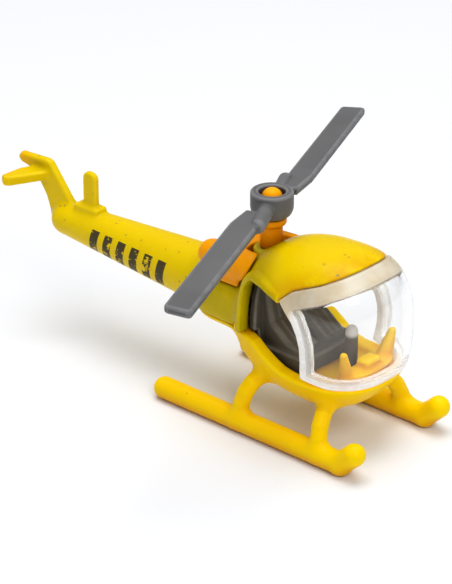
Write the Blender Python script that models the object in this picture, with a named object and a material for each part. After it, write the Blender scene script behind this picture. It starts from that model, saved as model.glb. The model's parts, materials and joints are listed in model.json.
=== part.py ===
"""Small die-cast toy helicopter, standing on its two skids.

Frame: metres, +X is the nose, +Y is port, +Z is up, and the skids rest on z = 0. Dimensions are in
millimetres from the rotor axis. Every object is placed MAST_X ahead of the origin, which lies under the
middle of the bounding box. Shapes that only join or cut other shapes stay as hidden wire objects.
"""

import math

import bmesh
import bpy
from mathutils import Matrix, Vector

MM = 0.001
MAST_X = 13.29  # rotor axis ahead of the middle of the bounding box
GAP = 0.3  # clearance between pieces that touch
FAR = 40.0  # beyond the object on any side
MERGE = 0.0001

# Cabin: a squared egg that the roof, the bubble and the tub are cut from
CABIN_X, CABIN_Z = 12.5, 18.0
CABIN_NOSE, CABIN_TAIL, CABIN_WIDTH = 10.8, 15.2, 9.8  # half sizes
CABIN_TOP, CABIN_LOW = 11.6, 12.6
CABIN_POWER = 2.5  # 2 is an ellipsoid, more is squarer
CABIN_COLUMNS, CABIN_ROWS = 56, 28
TUB_TAIL, TAIL_FADE = 2.0, (14.0, 23.0)  # extra length of the tub's rear, fading out between these heights
ROOF_TILT, ROOF_TILT_FADE = 0.03, (20.0, 26.0)  # rise per mm of length, growing between these heights
CHIN_TILT, CHIN_TILT_FADE = 0.08, (13.0, 9.0)
ROOF_WALL, TUB_WALL, TUB_FLOOR = 1.3, 2.2, 10.2
BUBBLE_PROUD, BUBBLE_WALL, BUBBLE_RIM_WALL, BUBBLE_RIM = 0.1, 0.9, 1.9, 1.6
DOOR_REAR, DOOR_BREAK, DOOR_FRONT = 1.45, 5.2, 20.0
DOOR_LOW, DOOR_TOP, DOOR_FALL, DOOR_RADIUS = 5.0, 24.0, 4.6, 2.2
ARCH_WIDTH, ARCH_PROUD, ARCH_FOOT, ARCH_BACK = 1.2, 0.7, 15.2, -1.8
ARCH_FADE, ARCH_LEAST = (10.5, 5.5), 0.2  # the arch sinks into the roof towards the bubble
ROOF_EDGE = [(9.4, 23.4), (11.2, 25.1), (13.0, 25.9), (15.3, 26.8), (18.0, 28.1), (27.0, 32.5)]
BUBBLE_REAR = [(11.0, 21.9), (12.2, 20.9), (13.2, 19.3), (13.8, 17.4), (13.9, 15.2), (13.6, 12.3)]
BUBBLE_LOW = 11.5
SILL = [(2.2, 15.0), (4.0, 14.7), (6.6, 13.0), (8.8, 11.7), (11.4, 11.2)]
SEAM_Z = 14.0  # body to base joint behind the door

# Tail
BOOM_Z, BOOM_END_Z = 16.9, 17.2
BOOM_REAR, BOOM_FRONT = -42.4, -4.0
BOOM_REAR_R, BOOM_FRONT_R = 2.6, 5.2
NECK_X, NECK_HALF, NECK_RADIUS = -4.8, (6.0, 5.7, 4.2), 3.0
DECK_REAR, DECK_Z = -11.0, 20.3
TONGUE_REAR, TONGUE_FRONT = -10.5, 6.0  # the base's tongue under the boom
FIN_THICK = 1.3
FIN = [(-39.0, 18.6), (-40.85, 20.2), (-45.5, 26.0), (-46.4, 26.25), (-52.1, 25.9), (-52.75, 25.0),
       (-52.1, 24.2), (-49.8, 23.75), (-47.9, 21.9), (-46.6, 20.0), (-45.9, 18.0), (-45.3, 15.8),
       (-44.0, 14.5), (-41.0, 15.5)]
STABILISER = [(-45.4, 0.0), (-46.2, -1.6), (-48.6, -6.6), (-49.6, -7.0), (-50.6, -6.4), (-50.5, -2.5),
              (-49.4, 0.0)]
STABILISER_Z, STABILISER_THICK = 23.6, 1.6
MOUND_X, MOUND_Z, MOUND_HALF = -37.35, 19.3, (2.5, 1.3, 1.8)
TAIL_BLADE_X, TAIL_BLADE_FOOT, TAIL_BLADE_TOP = -37.15, 18.0, 26.6
TAIL_BLADE_WIDE, TAIL_BLADE_THICK = 2.75, 1.1

# Undercarriage
SKID_Y, SKID_Z, SKID_R = 9.7, 1.62, 1.7
SKID_REAR, SKID_FRONT, SKID_TIP, SKID_BEND = -12.6, 21.9, (24.35, 3.95), 1.4
STRUT_R, STRUT_PIECES = 1.25, 10
STRUTS = [((5.0, 5.0, 9.2), (3.0, 9.8, 8.6), (2.3, 9.7, 2.0)),  # top, bend and foot of each
          ((15.8, 4.4, 8.2), (17.1, 9.4, 7.4), (17.7, 9.7, 2.0))]
FLARE_TOP, FLARE_FOOT, FLARE_REACH = 1.0, 0.6, 0.35  # extra radius where a strut meets the tub and the skid

# Rotor and its drive
ROTOR_R, BLADE_CHORD, BLADE_THICK, BLADE_Z = 37.8, 4.05, 1.3, 32.6
BLADE_PITCH = 5.0  # degrees
BLADE_ROOT, BLADE_SKEW = 9.0, 0.031  # start of the full width; sideways lean per mm of length
ARM_START, ARM_END = (2.6, 0.1, 0.0), (8.4, 0.9, 0.15)  # along the blade, across it, above BLADE_Z
ARM_R, ARM_END_R = 1.2, 1.1
ROTOR_TURN = -68.5  # degrees from +X to the starboard blade
HUB_R, HUB_BORE, HUB_LOW, HUB_HIGH = 3.2, 2.0, 30.9, 34.7
HUB_CHAMFER, HUB_CHAMFER_HIGH, HUB_EDGE, HUB_LIP, HUB_FLOOR = 0.55, 0.9, 0.35, 0.25, 1.3
PIN_HEAD_R, PIN_TOP, PIN_SHAFT_R = 1.6, 35.1, 1.0
MAST_R, MAST_LOW, MAST_HIGH, MAST_DRAFT = 1.75, 25.9, 30.6, 0.15
COLLAR_R, COLLAR_HIGH, COLLAR_SLOPE = 2.2, 0.9, 0.4
PEDESTAL_R, PEDESTAL_FOOT, PEDESTAL_SPREAD, PEDESTAL_HIGH = 2.7, 20.5, 0.9, 1.2
PEDESTAL_EDGE, PEDESTAL_ROOM = 0.3, 1.0
POD_Y, POD_Z, POD_REAR, POD_FRONT, POD_REAR_R, POD_FRONT_R = 4.1, 23.6, -8.0, 0.1, 2.1, 2.6
ENGINE_CENTRE, ENGINE_HALF = (-5.6, 0, 22.6), (3.2, 4.6, 2.4)
SKIRT_X, SKIRT_Y, SKIRT_Z, SKIRT_HALF = -4.3, 3.9, 21.9, (2.9, 1.9, 1.45)
ROOF_ROOM = 0.5  # between the engine and the roof

# Cabin fittings
BULKHEAD, BULKHEAD_Z = (1.6, 3.4), (9.9, 23.1)
SEAT = [(2.2, 10.6), (2.2, 22.2), (3.9, 22.2), (5.2, 17.0), (7.7, 15.0), (9.6, 13.8), (10.2, 12.4),
        (9.6, 10.6)]
SEAT_HALF, SEAT_SPLIT = 2.6, 0.3
TRAY = (2.6, 11.8), 6.2, 13.3  # rear and front, half width, top
STICK_X, STICK_R, STICK_TOP = 15.5, 0.95, 18.1
CONSOLE_CENTRE, CONSOLE_HALF = (18.7, 0, 11.6), (1.9, 5.0, 1.1)
HUMP_CENTRE, HUMP_HALF = (18.7, 0, 12.9), (1.2, 1.6, 1.3)
EAR_FOOT, EAR_TIP, EAR_R, EAR_TIP_R = (18.0, 4.0, 12.0), (18.5, 5.4, 16.2), 1.1, 0.55
RIVETS = {"front_rivet": (9.5, 6.2, 7.2), "rear_rivet": (-6.5, 11.9, 12.5)}  # x, underside, top of the head
RIVET_HEAD_R, RIVET_EDGE = 1.7, 0.4

COLOURS = {  # base colour, roughness, metallic
    "body_casting": ((0.84, 0.65, 0.001), 0.35, 0.0),
    "base_and_skids": ((0.98, 0.59, 0.0), 0.42, 0.0),
    "engine_block": ((0.95, 0.38, 0.001), 0.40, 0.0),
    "rotor_mast": ((0.95, 0.38, 0.001), 0.40, 0.0),
    "rotor_pin": ((0.97, 0.45, 0.002), 0.35, 0.0),
    "main_rotor": ((0.13, 0.13, 0.133), 0.45, 0.0),
    "canopy": ((0.90, 0.92, 0.92), 0.08, 0.0),
    "cabin_interior": ((0.10, 0.095, 0.085), 0.5, 0.0),
    "control_stick": ((0.10, 0.095, 0.085), 0.5, 0.0),
    "front_console": ((0.98, 0.59, 0.0), 0.42, 0.0),
    "front_rivet": ((0.55, 0.55, 0.56), 0.4, 1.0),
    "rear_rivet": ((0.55, 0.55, 0.56), 0.4, 1.0),
}


# Modelling helpers

def place(name, bm, origin=(0.0, 0.0, 0.0)):
    """An object from a mesh drawn in millimetres, with its own origin at the given point."""
    bmesh.ops.remove_doubles(bm, verts=bm.verts, dist=MERGE)
    bmesh.ops.recalc_face_normals(bm, faces=bm.faces)
    bm.transform(Matrix.Scale(MM, 4) @ Matrix.Translation([-v for v in origin]))
    mesh = bpy.data.meshes.new(name)
    bm.to_mesh(mesh)
    bm.free()
    mesh.shade_smooth()
    mesh.set_sharp_from_angle(angle=math.radians(35))
    made = bpy.data.objects.new(name, mesh)
    made.location = ((origin[0] + MAST_X) * MM, origin[1] * MM, origin[2] * MM)
    bpy.context.scene.collection.objects.link(made)
    return made


def combine(target, tools, operation):
    for tool in tools:
        step = target.modifiers.new(operation.lower(), "BOOLEAN")
        step.operation = operation
        step.object = tool
        tool.hide_render = True
        tool.display_type = "WIRE"
    return target


def join(target, *tools):
    return combine(target, tools, "UNION")


def cut(target, *tools):
    return combine(target, tools, "DIFFERENCE")


def keep(target, *tools):
    """Keeps only what lies inside the tools."""
    return combine(target, tools, "INTERSECT")


def soften(target, width, segments=2):
    edge = target.modifiers.new("soft_edges", "BEVEL")
    edge.width = width * MM
    edge.segments = segments
    edge.limit_method = "ANGLE"
    edge.angle_limit = math.radians(30)
    return target


def drawn(name, outline, low, high, upright=False):
    """A flat outline given thickness: (x, z) points drawn out along Y, or (x, y) along Z if upright."""
    bm = bmesh.new()
    corners = [(u, v, low) if upright else (u, low, v) for u, v in outline]
    face = bm.faces.new([bm.verts.new(c) for c in corners])
    grown = bmesh.ops.extrude_face_region(bm, geom=[face])["geom"]
    tops = [v for v in grown if isinstance(v, bmesh.types.BMVert)]
    thick = high - low
    bmesh.ops.translate(bm, verts=tops, vec=(0, 0, thick) if upright else (0, thick, 0))
    return place(name, bm)


def block(name, low, high):
    return drawn(name, [(low[0], low[1]), (high[0], low[1]), (high[0], high[1]), (low[0], high[1])],
                 low[2], high[2], upright=True)


def centred_block(name, centre, half):
    low = [c - h for c, h in zip(centre, half)]
    high = [c + h for c, h in zip(centre, half)]
    return block(name, low, high)


def turned(name, profile, sides=24, frame=Matrix(), origin=(0.0, 0.0, 0.0)):
    """A solid of revolution about Z. The profile is (radius, height) from the bottom centre up."""
    bm = bmesh.new()
    corners = [bm.verts.new((r, 0, h)) for r, h in profile]
    edges = [bm.edges.new(pair) for pair in zip(corners, corners[1:])]
    bmesh.ops.spin(bm, geom=corners + edges, cent=(0, 0, 0), axis=(0, 0, 1), angle=math.tau, steps=sides)
    bm.transform(frame)
    return place(name, bm, origin)


def arc(centre_r, centre_h, radius, start, end, count):
    """Points of an arc in a turned profile, angles in degrees from outward to up."""
    turns = [math.radians(start + (end - start) * i / (count - 1)) for i in range(count)]
    return [(centre_r + radius * math.cos(a), centre_h + radius * math.sin(a)) for a in turns]


def rod(name, start, end, start_r, end_r, sides=16):
    """A round bar with domed ends, centred on the line from start to end."""
    start, end = Vector(start), Vector(end)
    length = (end - start).length
    frame = Matrix.Translation(start) @ (end - start).to_track_quat("Z", "Y").to_matrix().to_4x4()
    profile = ([(0, -start_r)] + arc(0, 0, start_r, -70, -4, 4) + arc(0, length, end_r, 4, 70, 4)
               + [(0, length + end_r)])
    return turned(name, profile, sides, frame)


def tube(name, points, radii, sides_share=6):
    """A curve of varying thickness with flat filled ends, turned into a mesh."""
    curve = bpy.data.curves.new(name, "CURVE")
    curve.dimensions = "3D"
    curve.bevel_depth = 1.0
    curve.bevel_resolution = sides_share
    curve.use_fill_caps = True
    line = curve.splines.new("POLY")
    line.points.add(len(points) - 1)
    for corner, point, radius in zip(line.points, points, radii):
        corner.co = (*point, 1.0)
        corner.radius = radius
    drawn_curve = bpy.data.objects.new(name, curve)
    mesh = bpy.data.meshes.new_from_object(drawn_curve)
    bm = bmesh.new()
    bm.from_mesh(mesh)
    bpy.data.objects.remove(drawn_curve)
    bpy.data.meshes.remove(mesh)
    return place(name, bm)


def rounded(outline, radius, steps=4):
    """A convex outline, counter-clockwise, grown by the radius with arcs round its corners."""
    grown = []
    for before, here, after in zip(outline[-1:] + outline[:-1], outline, outline[1:] + outline[:1]):
        start = math.atan2(before[0] - here[0], here[1] - before[1])
        turn = (math.atan2(here[0] - after[0], after[1] - here[1]) - start) % math.tau
        grown += [(here[0] + radius * math.cos(start + turn * i / steps),
                   here[1] + radius * math.sin(start + turn * i / steps)) for i in range(steps + 1)]
    return grown


def fade(value, start, end):
    """0 at the start and 1 at the end, straight between them."""
    return min(max((value - start) / (end - start), 0.0), 1.0)


# Forms that several pieces share

def cabin(name, inset=0.0, proud=None):
    """The squared egg with every half size less the inset, pushed out along its normals by proud(x)."""
    bm = bmesh.new()
    bmesh.ops.create_uvsphere(bm, u_segments=CABIN_COLUMNS, v_segments=CABIN_ROWS, radius=1.0)
    for corner in bm.verts:
        squared = sum(abs(v) ** CABIN_POWER for v in corner.co) ** (1 / CABIN_POWER)
        along, side, up = corner.co / squared
        z = CABIN_Z + up * ((CABIN_TOP if up > 0 else CABIN_LOW) - inset)
        low = fade(z, TAIL_FADE[1], TAIL_FADE[0])
        tail = CABIN_TAIL + TUB_TAIL * low * low * (3 - 2 * low)
        x = along * ((CABIN_NOSE if along > 0 else tail) - inset)
        z += x * ROOF_TILT * fade(z, *ROOF_TILT_FADE) + max(x, 0.0) * CHIN_TILT * fade(z, *CHIN_TILT_FADE)
        corner.co = (CABIN_X + x, side * (CABIN_WIDTH - inset), z)
    if proud:
        bm.normal_update()
        for corner in bm.verts:
            corner.co += corner.normal * proud(corner.co.x)
    return place(name, bm)


def tail_boom(name, grow=0.0):
    """The tapered round boom and its rounded neck behind the cabin."""
    boom = rod(name, (BOOM_REAR, 0, BOOM_END_Z), (BOOM_FRONT, 0, BOOM_Z),
               BOOM_REAR_R + grow, BOOM_FRONT_R + grow, 32)
    neck = centred_block(name + "_neck", (NECK_X, 0, BOOM_Z), [h + grow for h in NECK_HALF])
    return join(boom, soften(neck, NECK_RADIUS + grow, 5))


def door(name, grow=0.0):
    """The doorway through both sides, grown to the outside of the arch round it."""
    r = DOOR_RADIUS
    corners = [(DOOR_REAR + r, DOOR_LOW), (DOOR_FRONT, DOOR_LOW), (DOOR_FRONT, DOOR_TOP - r - DOOR_FALL),
               (DOOR_BREAK, DOOR_TOP - r), (DOOR_REAR + r, DOOR_TOP - r)]
    return drawn(name, rounded(corners, r + grow), -FAR, FAR)


# Pieces

def body_casting():
    """The roof with its arches, the rear fuselage, the boom and the tail, cast in one."""
    arch = keep(cabin("arch", 0.0, arch_proud), door("arch_region", ARCH_WIDTH))
    body = join(cabin("body_casting"), arch)
    keep(body, drawn("roof_region", roof_outline(), -FAR, FAR))
    cut(body, door("doorway"), block("below_arch_foot", (-FAR, -FAR, -FAR), (FAR, FAR, ARCH_FOOT)))
    rear = cut(tail_boom("rear_fuselage"),
               block("engine_deck", (DECK_REAR, -FAR, DECK_Z), (FAR, FAR, FAR)),
               block("tongue_room", (TONGUE_REAR, -FAR, -FAR), (FAR, FAR, SEAM_Z)),
               block("arch_foot_room", (ARCH_BACK - GAP, -FAR, -FAR), (FAR, FAR, ARCH_FOOT)))
    seat = MAST_LOW - GAP
    profile = [(0, PEDESTAL_FOOT), (PEDESTAL_R + PEDESTAL_SPREAD, PEDESTAL_FOOT),
               (PEDESTAL_R, seat - PEDESTAL_HIGH), (PEDESTAL_R, seat - PEDESTAL_EDGE),
               (PEDESTAL_R - PEDESTAL_EDGE, seat), (0, seat)]
    join(body, rear, turned("pedestal", profile, 32))
    cut(body, cabin("cabin_room", ROOF_WALL), column("mast_recess", MAST_R + GAP, seat))
    return join(body, *tail_surfaces())


def column(name, radius, low):
    """Room for a round part, from a height upwards."""
    return turned(name, [(0, low), (radius, low), (radius, FAR), (0, FAR)], 32)


def roof_outline():
    return [(-FAR, -FAR), (ROOF_EDGE[0][0], -FAR)] + ROOF_EDGE + [(ROOF_EDGE[-1][0], FAR), (-FAR, FAR)]


def arch_proud(x):
    return ARCH_PROUD * max(fade(x, *ARCH_FADE), ARCH_LEAST)


def tail_surfaces():
    fin = soften(drawn("fin", FIN, -FIN_THICK / 2, FIN_THICK / 2), 0.35)
    wing = soften(drawn("stabiliser", STABILISER, STABILISER_Z - STABILISER_THICK / 2,
                        STABILISER_Z + STABILISER_THICK / 2, upright=True), 0.45)
    mound = soften(centred_block("mound", (MOUND_X, 0, MOUND_Z), MOUND_HALF), 0.5)
    half = TAIL_BLADE_WIDE / 2
    tip = [(TAIL_BLADE_X + u, v) for u, v in arc(0, TAIL_BLADE_TOP - half, half, 0, 180, 9)]
    foot = [(TAIL_BLADE_X - half, TAIL_BLADE_FOOT), (TAIL_BLADE_X + half, TAIL_BLADE_FOOT)]
    blade = soften(drawn("tail_blade", foot + tip, -TAIL_BLADE_THICK / 2, TAIL_BLADE_THICK / 2), 0.3)
    return fin, wing, mound, blade


def base_and_skids():
    base = cabin("base_and_skids")
    tongue_end = block("tongue_end", (TONGUE_REAR + GAP, -FAR, -FAR), (TONGUE_FRONT, FAR, FAR))
    join(base, keep(tail_boom("tongue"), tongue_end))
    keep(base, drawn("below_sill", sill_outline(), -FAR, FAR))
    sides = {"port": 1, "starboard": -1}
    for side, sign in sides.items():
        join(base, *[strut(f"{side}_strut_{i}", path, sign) for i, path in enumerate(STRUTS)])
    room = keep(cabin("tub_room", TUB_WALL), block("above_floor", (-FAR, -FAR, TUB_FLOOR), (FAR, FAR, FAR)))
    cut(base, room)
    for side, sign in sides.items():
        join(base, skid(side + "_skid", sign * SKID_Y))
    for name, (x, underside, top) in RIVETS.items():
        radius = RIVET_HEAD_R + GAP
        well = [(0, underside - FAR), (radius, underside - FAR), (radius, top + GAP), (0, top + GAP)]
        cut(base, turned(name + "_well", well, 24, Matrix.Translation((x, 0, 0))))
    return keep(base, block("above_ground", (-FAR * 2, -FAR, 0), (FAR * 2, FAR, FAR)))


def sill_outline():
    rear = [(TONGUE_REAR + GAP, SEAM_Z - GAP), (ARCH_BACK, SEAM_Z - GAP), (ARCH_BACK, ARCH_FOOT - GAP)]
    return rear + SILL + [(FAR, BUBBLE_LOW - GAP), (FAR, -FAR), (TONGUE_REAR + GAP, -FAR)]


def strut(name, path, sign):
    """A leg that leaves the tub sideways, bends down and flares at both ends."""
    top, bend, foot = [Vector((x, y * sign, z)) for x, y, z in path]
    shares = [i / STRUT_PIECES for i in range(STRUT_PIECES + 1)]
    points = [(1 - t) ** 2 * top + 2 * t * (1 - t) * bend + t ** 2 * foot for t in shares]
    flares = [FLARE_TOP * fade(t, FLARE_REACH, 0) ** 2 + FLARE_FOOT * fade(t, 1 - FLARE_REACH, 1) ** 2
              for t in shares]
    return tube(name, points, [STRUT_R + flare for flare in flares])


def skid(name, y):
    """A straight runner that turns up at the front, with domed ends."""
    rear, bend, tip = [Vector((x, y, z)) for x, z in ((SKID_REAR, SKID_Z), (SKID_FRONT, SKID_Z), SKID_TIP)]
    back, up = (rear - bend).normalized(), (tip - bend).normalized()
    turns = [math.radians(a) for a in range(80, -1, -16)]
    dome = [SKID_R * math.sin(a) for a in turns]
    points = [rear + back * d for d in dome] + [bend + back * SKID_BEND, bend + (back + up) * SKID_BEND / 4]
    points += [bend + up * SKID_BEND] + [tip + up * d for d in reversed(dome)]
    radii = [SKID_R * math.cos(a) for a in turns]
    return tube(name, points, radii + [SKID_R] * 3 + radii[::-1], 8)


def engine_block():
    engine = soften(centred_block("engine_block", ENGINE_CENTRE, ENGINE_HALF), 1.0)
    for side, sign in {"port": 1, "starboard": -1}.items():
        pod = rod(f"{side}_pod", (POD_REAR, sign * POD_Y, POD_Z), (POD_FRONT, sign * POD_Y, POD_Z),
                  POD_REAR_R, POD_FRONT_R, 20)
        skirt = centred_block(f"{side}_skirt", (SKIRT_X, sign * SKIRT_Y, SKIRT_Z), SKIRT_HALF)
        join(engine, pod, soften(skirt, 0.4))
    cut(engine, tail_boom("boom_room", GAP), cabin("roof_room", -ROOF_ROOM),
        column("pedestal_room", PEDESTAL_R + GAP + PEDESTAL_ROOM, 0.0))
    return keep(engine, block("above_deck", (-FAR, -FAR, DECK_Z + GAP), (FAR, FAR, FAR)))


def canopy():
    """The clear bubble, with a thicker rim along its cut edges."""
    bubble = keep(cabin("canopy", -BUBBLE_PROUD), drawn("bubble_region", bubble_outline(0.0), -FAR, FAR))
    inside_rim = drawn("inside_rim", bubble_outline(BUBBLE_RIM), -FAR, FAR)
    thin = keep(cabin("bubble_room", BUBBLE_WALL), inside_rim)
    return cut(bubble, cabin("rim_room", BUBBLE_RIM_WALL), thin)


def bubble_outline(inset):
    """The side view of the bubble, or of the part of it that lies inside the rim."""
    rear = [(x + inset, z) for x, z in BUBBLE_REAR]
    rear[0] = (rear[0][0], rear[0][1] - inset * 0.4)
    edge = BUBBLE_LOW + inset
    low = [(rear[-1][0], edge + 0.4), (rear[-1][0] + 1.0, edge), (FAR, edge)]
    top = [(x, z - GAP * 1.2 - inset) for x, z in ROOF_EDGE]
    corner = (top[0][0] + GAP + inset, top[0][1])
    return rear[:-1] + low + [(FAR, top[-1][1])] + top[:0:-1] + [corner]


def cabin_interior():
    low = TUB_FLOOR + GAP
    interior = block("cabin_interior", (BULKHEAD[0], -FAR, low), (BULKHEAD[1], FAR, BULKHEAD_Z[1]))
    for side, sign in {"port": 1, "starboard": -1}.items():
        middle = sign * (SEAT_HALF + SEAT_SPLIT)
        join(interior, soften(drawn(f"{side}_seat", SEAT, middle - SEAT_HALF, middle + SEAT_HALF), 0.7))
    (rear, front), half, top = TRAY
    join(interior, soften(block("tray", (rear, -half, low - 0.5), (front, half, top)), 0.4))
    return keep(interior, cabin("interior_room", TUB_WALL + GAP),
                block("above_tray_floor", (-FAR, -FAR, low), (FAR, FAR, FAR)))


def front_console():
    console = soften(centred_block("front_console", CONSOLE_CENTRE, CONSOLE_HALF), 0.5)
    join(console, soften(centred_block("hump", HUMP_CENTRE, HUMP_HALF), 0.6))
    for side, sign in {"port": 1, "starboard": -1}.items():
        foot, tip = [(x, y * sign, z) for x, y, z in (EAR_FOOT, EAR_TIP)]
        join(console, rod(f"{side}_ear", foot, tip, EAR_R, EAR_TIP_R, 14))
    return keep(console, cabin("console_room", TUB_WALL + GAP),
                block("above_console_floor", (-FAR, -FAR, TUB_FLOOR + GAP), (FAR, FAR, FAR)))


def main_rotor():
    """Two blades on a cupped hub, with the origin on the shaft axis at the blades' height."""
    profile = [(0, HUB_LOW), (HUB_R - HUB_CHAMFER, HUB_LOW), (HUB_R, HUB_LOW + HUB_CHAMFER_HIGH),
               (HUB_R, HUB_HIGH - HUB_EDGE), (HUB_R - HUB_EDGE, HUB_HIGH), (0, HUB_HIGH)]
    rotor = turned("main_rotor", profile, 32, Matrix(), (0, 0, BLADE_Z))
    join(rotor, *[blade(f"blade_{i}", ROTOR_TURN + 180 * i) for i in range(2)])
    floor = HUB_LOW + HUB_FLOOR
    cup = [(0, floor), (HUB_BORE, floor), (HUB_BORE, HUB_HIGH - HUB_LIP), (HUB_BORE + HUB_LIP, HUB_HIGH),
           (HUB_BORE, FAR), (0, FAR)]
    return cut(rotor, turned("hub_cup", cup, 32), column("pin_hole", PIN_SHAFT_R + GAP, 0.0))


def blade(name, turn):
    """A flat blade set at its pitch, leaning back a little, on a round arm that comes out of the hub."""
    half, rear = BLADE_CHORD / 2, BLADE_SKEW
    outline = [(BLADE_ROOT - 0.2, half * 0.35), (BLADE_ROOT - 4.5, half * 0.3),
               (BLADE_ROOT - 4.2, -half * 0.62), (BLADE_ROOT + 0.8, -half), (ROTOR_R, -half),
               (ROTOR_R, half), (BLADE_ROOT + 0.3, half)]
    swept = [(along, side - rear * (ROTOR_R - along)) for along, side in outline]
    flat = soften(drawn(name, swept, -BLADE_THICK / 2, BLADE_THICK / 2, upright=True), 0.4)
    flat.data.transform(Matrix.Rotation(math.radians(-BLADE_PITCH), 4, "X"))
    arm = rod(name + "_arm", ARM_START, ARM_END, ARM_R, ARM_END_R)
    spun = Matrix.Translation((0, 0, BLADE_Z * MM)) @ Matrix.Rotation(math.radians(turn), 4, "Z")
    for piece in (flat, arm):
        piece.data.transform(spun)
    return join(flat, arm)


def rotor_mast():
    collar = MAST_HIGH - COLLAR_HIGH
    profile = [(0, MAST_LOW), (MAST_R, MAST_LOW), (MAST_R - MAST_DRAFT, collar - COLLAR_SLOPE),
               (COLLAR_R, collar), (COLLAR_R, MAST_HIGH), (0, MAST_HIGH)]
    return turned("rotor_mast", profile, 32)


def rotor_pin():
    low, seat = MAST_HIGH + GAP, HUB_LOW + HUB_FLOOR + GAP
    head = arc(0, PIN_TOP - PIN_HEAD_R, PIN_HEAD_R, 0, 72, 5)
    profile = [(0, low), (PIN_SHAFT_R, low), (PIN_SHAFT_R, seat), (PIN_HEAD_R, seat)] + head
    return turned("rotor_pin", profile + [(0, PIN_TOP)], 28)


def control_stick():
    low = TUB_FLOOR + GAP
    top = arc(0, STICK_TOP - STICK_R, STICK_R, 0, 65, 4)
    return turned("control_stick", [(0, low), (STICK_R, low)] + top + [(0, STICK_TOP)], 20,
                  Matrix.Translation((STICK_X, 0, 0)))


def rivet(name):
    x, low, high = RIVETS[name]
    profile = [(0, low), (RIVET_HEAD_R - RIVET_EDGE, low), (RIVET_HEAD_R, low + RIVET_EDGE),
               (RIVET_HEAD_R, high), (0, high)]
    return turned(name, profile, 24, Matrix.Translation((x, 0, 0)))


def material(name):
    colour, roughness, metallic = COLOURS[name]
    made = bpy.data.materials.new(name)
    made.use_nodes = True
    shader = made.node_tree.nodes["Principled BSDF"]
    shader.inputs["Base Color"].default_value = (*colour, 1.0)
    shader.inputs["Roughness"].default_value = roughness
    shader.inputs["Metallic"].default_value = metallic
    return made


def build():
    for old in list(bpy.data.objects):
        bpy.data.objects.remove(old)
    pieces = [body_casting(), base_and_skids(), engine_block(), canopy(), cabin_interior(),
              front_console(), main_rotor(), rotor_mast(), rotor_pin(), control_stick()]
    pieces += [rivet(name) for name in RIVETS]
    for piece in pieces:
        piece.data.materials.append(material(piece.name))


build()
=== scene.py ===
"""Looks of a small die-cast toy helicopter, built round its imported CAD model.

The pieces repeat the CAD model's shapes, with fillets and small detail that the CAD leaves out. Seven are
distance fields meshed on a fine grid, and five are solids of revolution. Lengths are in millimetres from
the rotor axis until a mesh is made, and in metres from there on.
"""

import json

import bpy
import numpy as np
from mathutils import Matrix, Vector


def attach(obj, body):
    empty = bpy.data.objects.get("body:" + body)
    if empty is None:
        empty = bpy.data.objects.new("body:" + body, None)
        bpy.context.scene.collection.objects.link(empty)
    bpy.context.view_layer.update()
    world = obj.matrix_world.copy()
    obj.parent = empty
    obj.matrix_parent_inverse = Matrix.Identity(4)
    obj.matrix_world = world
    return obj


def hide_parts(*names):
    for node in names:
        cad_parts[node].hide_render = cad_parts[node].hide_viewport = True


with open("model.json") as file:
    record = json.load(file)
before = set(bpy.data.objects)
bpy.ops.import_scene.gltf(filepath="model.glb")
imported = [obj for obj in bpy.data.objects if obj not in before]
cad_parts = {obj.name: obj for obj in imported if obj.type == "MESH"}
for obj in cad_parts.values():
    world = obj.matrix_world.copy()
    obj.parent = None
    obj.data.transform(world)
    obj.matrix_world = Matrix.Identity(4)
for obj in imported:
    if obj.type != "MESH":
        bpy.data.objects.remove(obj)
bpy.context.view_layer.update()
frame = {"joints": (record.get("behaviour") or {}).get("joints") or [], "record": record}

MM = 0.001
MAST_X = frame["joints"][0]["pos_m"][0] / MM

GAP = 0.12  # seam between pieces that touch
TINY = 1e-6  # keeps the cabin's slope above 0

# Cabin: a super-ellipsoid shared by roof, bubble and tub
CABIN_X, CABIN_Z = 12.5, 18.0
CABIN_NOSE, CABIN_TAIL, CABIN_WIDTH, CABIN_TOP, CABIN_LOW = 10.8, 15.2, 9.8, 11.6, 12.6  # half sizes
CABIN_POWER = 2.5  # 2 is an ellipsoid, more is squarer
TUB_TAIL, TAIL_FADE = 2.0, (23.0, 14.0)  # extra length of the tub's rear, growing between these heights
ROOF_WALL = 1.3
TUB_WALL = 2.2
TUB_FLOOR = 10.2
CHIN_PROUD, CHIN_FADE = 0.1, (9.2, 15.2)
ROOF_TILT, ROOF_TILT_FADE = 0.03, (20.0, 26.0)  # rise per mm of length, growing between these heights
CHIN_TILT, CHIN_TILT_FADE = 0.08, (13.0, 9.0)
BUBBLE_PROUD, BUBBLE_WALL = 0.1, 0.9
BUBBLE_RIM_WALL, BUBBLE_RIM, BUBBLE_TOP_RIM = 1.9, 1.5, 2.6
DOOR_REAR, DOOR_BREAK, DOOR_FRONT = 1.45, 5.2, 20.0
DOOR_LOW, DOOR_TOP, DOOR_RADIUS, DOOR_FALL = 5.0, 24.0, 2.2, 4.6
ARCH_WIDTH, ARCH_PROUD, ARCH_FOOT, ARCH_FRONT = 1.2, 0.7, 15.2, 9.2
ARCH_FADE, ARCH_LEAST = (10.5, 5.5), 0.2  # the arch sinks into the roof towards the bubble
FAR_BACK, FAR_AHEAD, FAR_DOWN, FAR_UP = -30.0, 40.0, -5.0, 45.0  # beyond what the outlines cut
ROOF_EDGE = [(9.4, 23.4), (11.2, 25.1), (13.0, 25.9), (15.3, 26.8), (18.0, 28.1), (27.0, 32.5)]
ROOF_TOP = [(ROOF_EDGE[-1][0], FAR_UP), (FAR_BACK, FAR_UP)]
ROOF_SEAM = GAP * 0.8  # height of the seam between roof and bubble
BUBBLE_REAR = [(11.0, 21.9), (12.2, 20.9), (13.2, 19.3), (13.8, 17.4), (13.9, 15.2), (13.6, 12.3)]
BUBBLE_LOW, BUBBLE_FOOT, BUBBLE_HIGH = 11.5, 18.0, 32.0
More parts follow.
